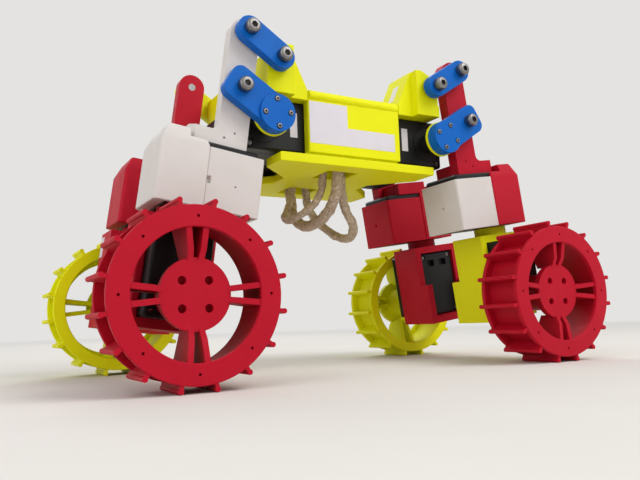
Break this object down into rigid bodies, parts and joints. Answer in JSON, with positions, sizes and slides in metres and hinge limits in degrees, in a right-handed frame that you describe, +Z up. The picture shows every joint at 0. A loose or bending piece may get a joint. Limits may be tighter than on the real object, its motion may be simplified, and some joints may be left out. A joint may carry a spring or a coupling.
{
  "type": "planetary rover prototype",
  "caption": "Small legged and wheeled rover prototype: each wheel is rolled, swept and lifted by its own hobby servos.",
  "frame": {"origin": "on the ground, below the middle of the body, with the wheels down", "axes": "+X points forward, +Y to the rover's left, +Z up"},
  "size_m": [0.3348, 0.191, 0.2069],
  "materials": {
    "red": "printed, satin",
    "yellow": "printed, satin",
    "blue": "printed, satin",
    "white": "printed, satin",
    "servo_black": "moulded, matte",
    "tape_tan": "crumpled paper tape round wires",
    "steel": "zinc plated"
  },
  "bodies": {
    "body": {"deck_plate": "yellow", "body_box": "yellow", "tower_pins": "steel", "cable_thick": "tape_tan", "cable_long": "tape_tan", "cable_thin": "tape_tan", "lift_servo_front_right": "servo_black", "tower_front_right": "yellow", "lift_servo_front_left": "servo_black", "tower_front_left": "yellow", "lift_servo_rear_right": "servo_black", "tower_rear_right": "yellow", "lift_servo_rear_left": "servo_black", "tower_rear_left": "yellow"},
    "crank_front_right": {"crank_front_right": "blue"},
    "link_front_right": {"link_front_right": "blue"},
    "leg_front_right": {"upright_front_right": "red", "leg_pins_front_right": "steel", "sweep_servo_front_right": "servo_black", "servo_box_front_right": "white", "end_cover_front_right": "red"},
    "knuckle_front_right": {"knuckle_front_right": "yellow", "drive_servo_front_right": "servo_black"},
    "wheel_front_right": {"wheel_front_right": "red"},
    "crank_front_left": {"crank_front_left": "blue"},
    "link_front_left": {"link_front_left": "yellow"},
    "leg_front_left": {"upright_front_left": "red", "leg_pins_front_left": "steel", "sweep_servo_front_left": "servo_black", "servo_box_front_left": "red", "end_cover_front_left": "red"},
    "knuckle_front_left": {"knuckle_front_left": "red", "drive_servo_front_left": "servo_black"},
    "wheel_front_left": {"wheel_front_left": "yellow"},
    "crank_rear_right": {"crank_rear_right": "blue"},
    "link_rear_right": {"link_rear_right": "blue"},
    "leg_rear_right": {"upright_rear_right": "white", "leg_pins_rear_right": "steel", "sweep_servo_rear_right": "servo_black", "servo_box_rear_right": "white", "end_cover_rear_right": "white"},
    "knuckle_rear_right": {"knuckle_rear_right": "red", "drive_servo_rear_right": "servo_black"},
    "wheel_rear_right": {"wheel_rear_right": "red"},
    "crank_rear_left": {"crank_rear_left": "blue"},
    "link_rear_left": {"link_rear_left": "yellow"},
    "leg_rear_left": {"upright_rear_left": "red", "leg_pins_rear_left": "steel", "sweep_servo_rear_left": "servo_black", "servo_box_rear_left": "red", "end_cover_rear_left": "red"},
    "knuckle_rear_left": {"knuckle_rear_left": "red", "drive_servo_rear_left": "servo_black"},
    "wheel_rear_left": {"wheel_rear_left": "yellow"}
  },
  "joints": [
    {"name": "lift_front_right", "type": "hinge", "parent": "body", "child": "crank_front_right", "pos_m": [0.0625, -0.058, 0.14981], "axis": [0, -1, 0], "range_deg": [-68, 12]},
    {"name": "link_front_right", "type": "hinge", "parent": "body", "child": "link_front_right", "pos_m": [0.0575, -0.058, 0.18481], "axis": [0, -1, 0], "range_deg": [-68, 12]},
    {"name": "level_front_right", "type": "hinge", "parent": "crank_front_right", "child": "leg_front_right", "pos_m": [0.08263, -0.058, 0.16288], "axis": [0, -1, 0], "range_deg": [-12, 68]},
    {"name": "sweep_front_right", "type": "hinge", "parent": "leg_front_right", "child": "knuckle_front_right", "pos_m": [0.116, -0.0395, 0.08836], "axis": [-0.1414, 0, 0.9899], "range_deg": [-45, 45]},
    {"name": "spin_front_right", "type": "hinge", "parent": "knuckle_front_right", "child": "wheel_front_right", "pos_m": [0.12215, -0.0625, 0.04529], "axis": [0, 1, 0], "continuous": true},
    {"name": "lift_front_left", "type": "hinge", "parent": "body", "child": "crank_front_left", "pos_m": [0.0625, 0.058, 0.14981], "axis": [0, -1, 0], "range_deg": [-68, 12]},
    {"name": "link_front_left", "type": "hinge", "parent": "body", "child": "link_front_left", "pos_m": [0.0575, 0.058, 0.18481], "axis": [0, -1, 0], "range_deg": [-68, 12]},
    {"name": "level_front_left", "type": "hinge", "parent": "crank_front_left", "child": "leg_front_left", "pos_m": [0.08263, 0.058, 0.16288], "axis": [0, -1, 0], "range_deg": [-12, 68]},
    {"name": "sweep_front_left", "type": "hinge", "parent": "leg_front_left", "child": "knuckle_front_left", "pos_m": [0.116, 0.0395, 0.08836], "axis": [-0.1414, 0, 0.9899], "range_deg": [-45, 45]},
    {"name": "spin_front_left", "type": "hinge", "parent": "knuckle_front_left", "child": "wheel_front_left", "pos_m": [0.12215, 0.0625, 0.04529], "axis": [0, 1, 0], "continuous": true},
    {"name": "lift_rear_right", "type": "hinge", "parent": "body", "child": "crank_rear_right", "pos_m": [-0.0625, -0.058, 0.14981], "axis": [0, 1, 0], "range_deg": [-68, 12]},
    {"name": "link_rear_right", "type": "hinge", "parent": "body", "child": "link_rear_right", "pos_m": [-0.0575, -0.058, 0.18481], "axis": [0, 1, 0], "range_deg": [-68, 12]},
    {"name": "level_rear_right", "type": "hinge", "parent": "crank_rear_right", "child": "leg_rear_right", "pos_m": [-0.08263, -0.058, 0.16288], "axis": [0, 1, 0], "range_deg": [-12, 68]},
    {"name": "sweep_rear_right", "type": "hinge", "parent": "leg_rear_right", "child": "knuckle_rear_right", "pos_m": [-0.116, -0.0395, 0.08836], "axis": [0.1414, 0, 0.9899], "range_deg": [-45, 45]},
    {"name": "spin_rear_right", "type": "hinge", "parent": "knuckle_rear_right", "child": "wheel_rear_right", "pos_m": [-0.12215, -0.0625, 0.04529], "axis": [0, 1, 0], "continuous": true},
    {"name": "lift_rear_left", "type": "hinge", "parent": "body", "child": "crank_rear_left", "pos_m": [-0.0625, 0.058, 0.14981], "axis": [0, 1, 0], "range_deg": [-68, 12]},
    {"name": "link_rear_left", "type": "hinge", "parent": "body", "child": "link_rear_left", "pos_m": [-0.0575, 0.058, 0.18481], "axis": [0, 1, 0], "range_deg": [-68, 12]},
    {"name": "level_rear_left", "type": "hinge", "parent": "crank_rear_left", "child": "leg_rear_left", "pos_m": [-0.08263, 0.058, 0.16288], "axis": [0, 1, 0], "range_deg": [-12, 68]},
    {"name": "sweep_rear_left", "type": "hinge", "parent": "leg_rear_left", "child": "knuckle_rear_left", "pos_m": [-0.116, 0.0395, 0.08836], "axis": [0.1414, 0, 0.9899], "range_deg": [-45, 45]},
    {"name": "spin_rear_left", "type": "hinge", "parent": "knuckle_rear_left", "child": "wheel_rear_left", "pos_m": [-0.12215, 0.0625, 0.04529], "axis": [0, 1, 0], "continuous": true}
  ],
  "couplings": [
    {"joint": "link_front_right", "follows": "lift_front_right", "ratio": 1},
    {"joint": "level_front_right", "follows": "lift_front_right", "ratio": -1},
    {"joint": "link_front_left", "follows": "lift_front_left", "ratio": 1},
    {"joint": "level_front_left", "follows": "lift_front_left", "ratio": -1},
    {"joint": "link_rear_right", "follows": "lift_rear_right", "ratio": 1},
    {"joint": "level_rear_right", "follows": "lift_rear_right", "ratio": -1},
    {"joint": "link_rear_left", "follows": "lift_rear_left", "ratio": 1},
    {"joint": "level_rear_left", "follows": "lift_rear_left", "ratio": -1}
  ]
}
